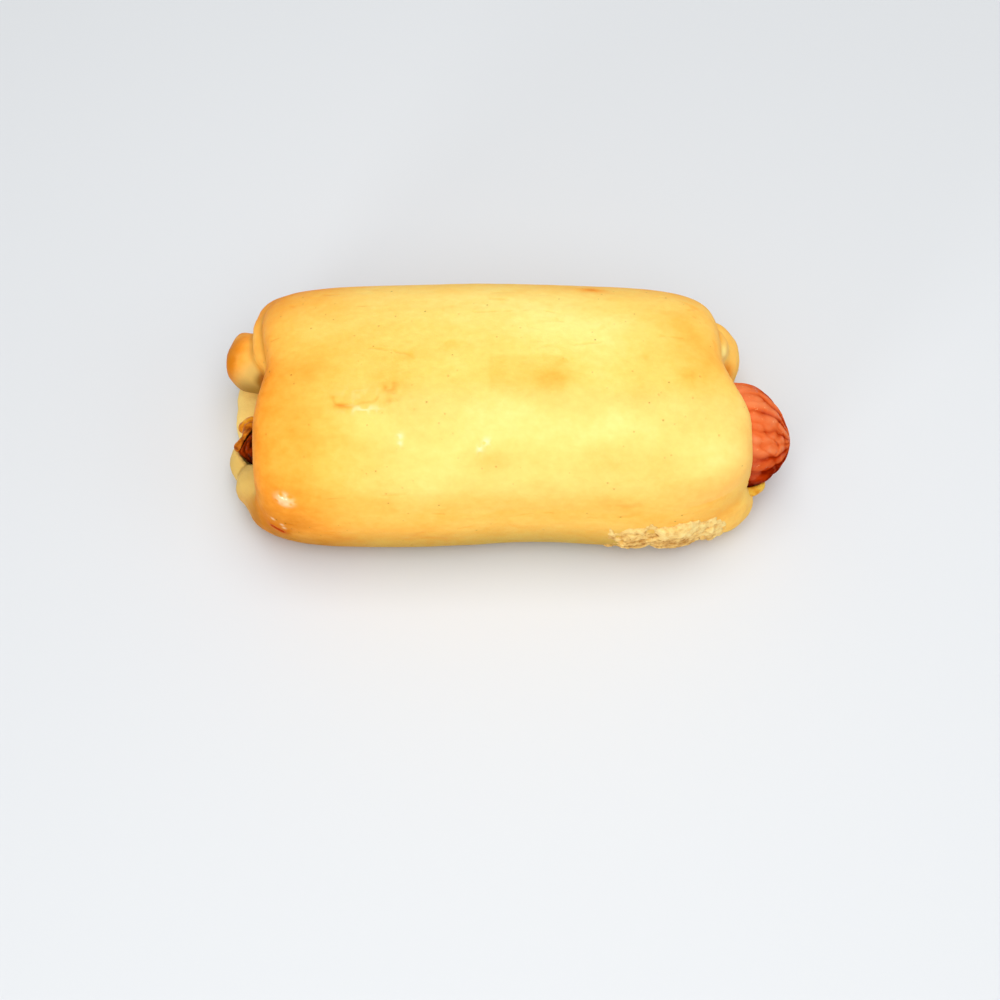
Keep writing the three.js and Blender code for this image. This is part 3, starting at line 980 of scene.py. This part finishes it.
def dough_piece():
    finer = (lambda q: near_ends(q) | finely_marked(q), finely_marked)
    p, triangles = field_mesh(dough_depth, *DOUGH_GRID, wanted=finer)
    x, y, z = p.T
    on = Regions(p)
    puckers, glaze_and_highlight = puckers_of(p), glaze_and_highlight_of(p)
    # A broad painted highlight over the middle of the top.
    painted_sheen = smoothstep(-y, 2, 10) * smoothstep(y, -33, -27) * smoothstep(x, -50, -20) * (z > UPPER_Z)
    lip_gloss = spot(x, y, (-62.3, -4.5), (0.8, 4.5)) * (z > UPPER_Z) * smoothstep(fine(p, 1.6), 0.1, 0.5)
    # Paler colour: pale flakes on the puckers and the blister, partly painted highlight, the paler strip, and
    # painted highlights on the shiny spot, its dots and the middle of the top.
    cream_and_highlights = 0.55 * puckers + 0.48 * blister_flakes(p) + 0.5 * glaze_and_highlight
    cream_and_highlights += 0.12 * on.strip * on.inner + 0.10 * painted_sheen
    gloss = 0.9 * glaze_and_highlight * (1 - bell(on.split / 0.6)) + 0.25 * puckers + 0.2 * lip_gloss
    # The split's real scorched colour, plus the small hole under the left lip darkened as painted shade.
    split_scorch_and_hole_shade = bell(on.split / 0.55) + 0.45 * bell(on.split / 1.3) + 0.45 * on.pit_shade
    attributes = {
        "bake": browning_of(p, on),
        "raw": rawness_of(p, on),
        "tan": shade_and_base_browning_of(p, on),
        "painted_shade": painted_shade_of(p, on),
        "cream_and_highlights": np.clip(cream_and_highlights, 0, 1),
        "gloss": np.clip(gloss, 0, 1),
        "wrinkled": np.maximum(smoothstep(y, -4, 3) * (z > 30), smoothstep(-y, 26, 30) * (z > 8)),
        "split_scorch_and_hole_shade": np.clip(split_scorch_and_hole_shade, 0, 1),
    }
    return make_piece("dough_crust", p, triangles, attributes, crust_material(), "dough")


# ---- Torn crumb ----
def crumb_relief(p):
    """Height of the torn bread: ragged shards of crumb, and a sponge of small holes low down, mm."""
    bent = p + 0.6 * np.stack([medium(p, 1.7), medium(p + 31, 1.7), medium(p + 67, 1.7)], axis=1)
    nearest, plate = flakes(bent, (2.7, 2.2, 2.4))
    hole, _ = holes(bent, 0.95)
    sponge = smoothstep(-p[:, 2], -16.5, -11) * bell((p[:, 0] - 42) / 11)
    shards = 0.40 * plate + 0.6 * (0.5 - nearest)
    height = (1 - sponge) * shards + 0.38 * fine(p, 1.0)
    return height - (0.35 + 0.55 * sponge) * smoothstep(-hole, -0.46, -0.16)


# The torn strip along the front wall: its two ends, its lower edge, and how deep it is rooted in the wall.
CRUMB_LEFT, CRUMB_RIGHT = 24.9, 55.4
CRUMB_BOTTOM = 2.4
CRUMB_ROOT = 1.4
# Where along X the strip bulges out: middle, size and height.
CRUMB_BULGES = (
    (43, 5.0, 2.0),
    (52.5, 2.6, 0.70),
    (31, 3.5, 0.45),
)
# The strip's field is worked out only this near to the wall.
CRUMB_REACH = 3.6


def crumb_depth(p):
    """Distance from the torn strip's surface, negative inside the crumb."""
    wall = dough_depth(p)
    depth = np.maximum(wall, CRUMB_REACH)
    near = np.abs(wall) < CRUMB_REACH
    q = p[near]
    x, _, z = q.T
    upper_edge = -6.1 + 1.6 * bell((x - 51) / 6) + 0.5 * medium(q + 23, 3.3)
    over_edge = view_up(q) - upper_edge
    ragged = 0.8 * medium(q, 2.3) + 0.7 * fine(q, 1.0)
    border = np.maximum(over_edge, np.maximum(CRUMB_LEFT - x, x - CRUMB_RIGHT)) - 0.6 * ragged
    border = np.maximum(border, CRUMB_BOTTOM - z - 0.4 * ragged)
    thickness = 0.30
    for middle, size, amount in CRUMB_BULGES:
        thickness = thickness + amount * bell((x - middle) / size)
    notches = bell((x - 36.2) / 0.9) * smoothstep(-z, -12, -10) + 0.6 * bell((x - 27.6) / 0.7)
    below_edge = smoothstep(-over_edge, 0, 2.6)
    thickness = thickness * (0.25 + 0.75 * below_edge) - 0.9 * notches
    thickness *= 0.3 + 0.7 * smoothstep(-x, -CRUMB_RIGHT, -51.5)
    thickness += (0.45 + 0.45 * below_edge) * crumb_relief(q) + 0.3 * medium(q, 3.1)
    outside = smooth_max(wall[near] - thickness, border, 0.9)
    depth[near] = np.maximum(outside, -wall[near] - CRUMB_ROOT)
    return depth


def crumb_piece():
    p, triangles = field_mesh(crumb_depth, *CRUMB_GRID)
    # Lighter on the raised shards and darker in the holes, which paints light and shade, and paler towards the
    # upper edge.
    height = 0.28 + 0.6 * crumb_relief(p) + 0.34 * smoothstep(view_up(p), -11.0, -7.5)
    return make_piece("torn_crumb", p, triangles, {"height": height}, crumb_material(), None)


# ---- Sausage piece ----
# Creases gathered at the right tip: angle from +Y towards +Z, depth in mm and reach from the tip.
PLEATS = (
    (18, 0.8, 9),
    (43, 0.7, 8),
    (66, 1.0, 8),
    (88, 0.9, 12),
    (112, 0.9, 9),
    (128, 0.35, 12),
    (146, 0.8, 11),
    (167, 0.7, 10),
    (192, 0.9, 9),
    (221, 0.8, 8),
    (250, 0.9, 10),
    (283, 0.8, 9),
    (312, 0.8, 8),
    (340, 0.9, 10),
)


# Points in each ring round the sausage.
AROUND = 240
# Length of the part with close rings at each end.
LEFT_SHOWN, RIGHT_SHOWN = 24, 26


def sausage_rings():
    """X of each ring from left to right, closest together at the tips, without the tips."""
    near = np.linspace(0, 1, 80) ** 1.5
    left = SAUSAGE_LEFT + LEFT_SHOWN * near
    right = SAUSAGE_RIGHT - RIGHT_SHOWN * near
    hidden = np.linspace(left[-1], right[-1], 24)[1:-1]
    return np.concatenate([left[1:], hidden, right[1:][::-1]])


def pleats_of(flat, angle, radius, to_right):
    """Depth of the creases gathered at the right tip, mm."""
    wander = np.radians(7) * medium(flat, (4, 6, 6)) + np.radians(4) * fine(flat, (2, 3, 3))
    width = 0.55 + 0.06 * to_right
    crease = np.zeros(len(flat))
    for at, depth, reach in PLEATS:
        off = (angle + wander - np.radians(at) + np.pi) % (2 * np.pi) - np.pi
        strength = depth * bell((to_right - 3.2) / reach) * np.clip(radius / 6, 0.15, 1)
        crease = np.maximum(crease, strength * np.exp(-np.abs(off) * radius / width))
    return crease


def link_faces(ring_count):
    """Triangles of the side and of the fans at the left and the right tip, whose points come last."""
    ring = np.arange(ring_count - 1)[:, None] * AROUND
    step = np.arange(AROUND)[None, :]
    after = (step + 1) % AROUND
    corners = (ring + step, ring + AROUND + step, ring + AROUND + after, ring + after)
    quads = np.stack(corners, axis=-1).reshape(-1, 4)
    triangles = [quads[:, [0, 2, 1]], quads[:, [0, 3, 2]]]
    left_tip = ring_count * AROUND
    for tip, first, order in ((left_tip, 0, 1), (left_tip + 1, left_tip - AROUND, -1)):
        fan = np.stack([np.full(AROUND, tip), first + step[0], first + after[0]], axis=1)
        triangles.append(fan[:, ::order])
    return np.concatenate(triangles)


def sausage_piece():
    rings = sausage_rings()
    angles = np.linspace(0, 2 * np.pi, AROUND, endpoint=False)
    x, angle = (grid.ravel() for grid in np.meshgrid(rings, angles, indexing="ij"))
    middle_y, middle_z = sausage_middle(x)
    radius = sausage_radius(x)
    flat = np.stack([x, radius * np.cos(angle), radius * np.sin(angle)], axis=1)
    to_right = np.clip(SAUSAGE_RIGHT - x, 0, None)
    to_left = np.clip(x - SAUSAGE_LEFT, 0, None)
    near_right, near_left = bell(to_right / 12), bell(to_left / 14)
    crease = pleats_of(flat, angle, radius, to_right)
    facets = np.clip(rough.ridged(flat, (4.2, 3.0, 3.0)), 0, 1) ** 3
    crinkle = 0.12 * fine(flat, (1.6, 1.0, 1.0)) + 0.26 * medium(flat, (3.4, 2.2, 2.2)) + 0.46 * facets
    crinkle *= near_right
    shrivel = 0.6 + 1.1 * medium.layered(flat, 3.6, 3) + 0.5 * rough.ridged(flat, 2.2)
    dent = crease - 0.25 * near_right + crinkle
    dent += near_left * np.clip(radius / 7, 0, 1) * np.maximum(shrivel, -0.1)
    radius = np.maximum(radius - dent, 0.02)
    side = np.stack([x, middle_y + radius * np.cos(angle), middle_z + radius * np.sin(angle)], axis=1)
    tips = [(tip, *sausage_middle(tip)) for tip in (SAUSAGE_LEFT, SAUSAGE_RIGHT)]
    p = np.concatenate([side, tips])
    # Painted light and shade on the skin: lighter on top, darker down the sides, a little lighter again right
    # underneath, and darker in the creases and crinkles.
    facing_up = 0.5 + 0.5 * np.cos(angle - np.radians(91))
    underside = bell((angle - np.radians(275)) / np.radians(50))
    painted_shading = 0.10 + 0.66 * smoothstep(facing_up + 0.10 * medium(flat, 6), 0.36, 0.98) + 0.26 * underside
    painted_shading -= 0.65 * np.clip(crease, 0, 1) + 0.45 * crinkle
    tip_painted_shading, tip_dent = 0.2, 0.4
    attributes = {
        "painted_shading": np.append(painted_shading, [tip_painted_shading] * 2),
        "char": smoothstep(-p[:, 0], 46, 58),
        "dent": np.append(np.clip(0.5 - 0.5 * dent * near_left, 0, 1), [tip_dent] * 2),
    }
    faces = link_faces(len(rings))
    return make_piece("sausage_link", p, faces, attributes, sausage_material(), "sausage")


# ---- Cheese piece ----
# Blobs of baked cheese that hang on the left end of the sausage: centre and radii.
LEFT_BLOBS = (
    ([-68.6, 0.9, 11.6], [1.5, 1.5, 1.4]),
    ([-66.4, 1.2, 12.8], [2.4, 2.0, 2.0]),
    ([-66.2, -1.6, 14.6], [1.9, 2.0, 1.7]),
    ([-67.0, -3.8, 15.2], [1.6, 1.7, 1.5]),
    ([-68.0, -5.4, 15.0], [1.5, 1.4, 1.4]),
    ([-69.2, -6.0, 14.0], [1.3, 1.2, 1.3]),
)


# The strip covers the sausage's underside from one of these angles to the other, from +Y towards +Z.
CHEESE_FROM, CHEESE_TO = -168, 15


def cheese_depth(p):
    """Distance from the cheese's surface, negative inside."""
    x, y, z = p.T
    middle_y, middle_z = sausage_middle(np.clip(x, SAUSAGE_LEFT, SAUSAGE_RIGHT))
    angle = np.degrees(np.arctan2(z - middle_z, y - middle_y))
    from_skin = sausage_depth(p)
    reach = np.radians(np.maximum(CHEESE_FROM - angle, angle - CHEESE_TO)) * SAUSAGE_R
    across = np.clip((angle - CHEESE_FROM) / (CHEESE_TO - CHEESE_FROM), 0, 1)
    thickness = 1.9 + 1.1 * np.sin(np.pi * across)
    lumps = 0.5 * medium(p, 3.2) + 0.35 * fine(p, 1.5)
    at_left = smoothstep(-x, 52, 60)
    at_right = smoothstep(x, 52, 58)
    skin = from_skin - 0.3 - thickness - (at_left + at_right) * lumps
    x_left = -63.5 - 6.5 * bell(angle / 50)
    x_right = 58 + 8 * bell((angle + 143) / 22)
    ends = np.maximum(x_left - x, x - x_right) - 0.6 * lumps
    depth = smooth_max(smooth_max(skin, reach, 1.2), ends, 1.6)
    for at, radii in LEFT_BLOBS:
        depth = smooth_min(depth, lump_depth(p, at, radii, 2.2) - 0.5 * lumps, 1.2)
    depth = np.maximum(depth, 0.25 - from_skin)
    return smooth_max(depth, 0.4 - z, 0.4)


def cheese_piece():
    finer = (lambda q: np.abs(q[:, 0]) > 54, lambda q: q[:, 0] < -62)
    p, triangles = field_mesh(cheese_depth, *CHEESE_GRID, wanted=finer)
    x, y, _ = p.T
    bubbles = 0.18 * fine(p, 1.6) + 0.14 * rough.ridged(p, 1.2)
    bake = 0.12 + 0.42 * smoothstep(-x, 60, 67) + bubbles
    bake += 0.25 * smoothstep(-y, -2, 3) * (x < -60) - 0.25 * bell((y - 4) / 2) * (x < -60)
    attributes = {"bake": bake}
    return make_piece("cheese_strip", p, triangles, attributes, cheese_material(), "cheese")


# ---- Stage ----
# Name, place, size and power of each lamp, in metres and watts. All of them face the part.
LAMPS = (
    ("overhead", (0.05, 0.0, 0.8), (0.8, 0.6), 4.55),
    ("front", (0.0, -0.5, 0.75), (0.9, 0.5), 1.8),
    ("window", (-0.42, -0.60, 0.16), (0.22, 0.16), 1.6),
    ("right", (0.55, -0.2, 0.4), (0.5, 0.4), 0.5),
)
LAMP_TARGET = (0, 0, 0.02)
SKY_STRENGTH = 0.38


def camera():
    forward = np.array([0, math.cos(PHOTO_ELEVATION), -math.sin(PHOTO_ELEVATION)])
    data = bpy.data.cameras.new("photo_camera")
    data.sensor_width = SENSOR
    data.lens = SENSOR * PHOTO_DISTANCE / PHOTO_WIDTH
    data.clip_start = 0.01
    item = bpy.data.objects.new("photo_camera", data)
    item.location = (PHOTO_TARGET - PHOTO_DISTANCE * forward + SHIFT) / 1000
    item.rotation_euler = (math.pi / 2 - PHOTO_ELEVATION, 0, 0)
    bpy.context.scene.collection.objects.link(item)
    bpy.context.scene.camera = item


def floor():
    s = Shader("pale_floor")
    s.set(Base_Color=linear(215, 218, 221), Roughness=0.6)
    mesh = bpy.data.meshes.new("floor")
    half = 3.0
    corners = [(-half, -half, 0), (half, -half, 0), (half, half, 0), (-half, half, 0)]
    mesh.from_pydata(corners, [], [(0, 1, 2, 3)])
    mesh.materials.append(s.material)
    item = bpy.data.objects.new("floor", mesh)
    bpy.context.scene.collection.objects.link(item)


def lights():
    for name, position, size, power in LAMPS:
        data = bpy.data.lights.new(name, "AREA")
        data.shape = "RECTANGLE"
        data.size, data.size_y = size
        data.energy = power
        item = bpy.data.objects.new(name, data)
        item.location = position
        aim = Vector(LAMP_TARGET) - Vector(position)
        item.rotation_euler = aim.to_track_quat("-Z", "Y").to_euler()
        bpy.context.scene.collection.objects.link(item)
    world = bpy.data.worlds.new("studio")
    world.use_nodes = True
    background = world.node_tree.nodes["Background"]
    background.inputs["Color"].default_value = (1, 1, 1, 1)
    background.inputs["Strength"].default_value = SKY_STRENGTH
    bpy.context.scene.world = world


camera()
floor()
lights()
dough_piece()
crumb_piece()
sausage_piece()
cheese_piece()

view = bpy.context.scene.view_settings
view.view_transform = "Standard"
view.look = "None"
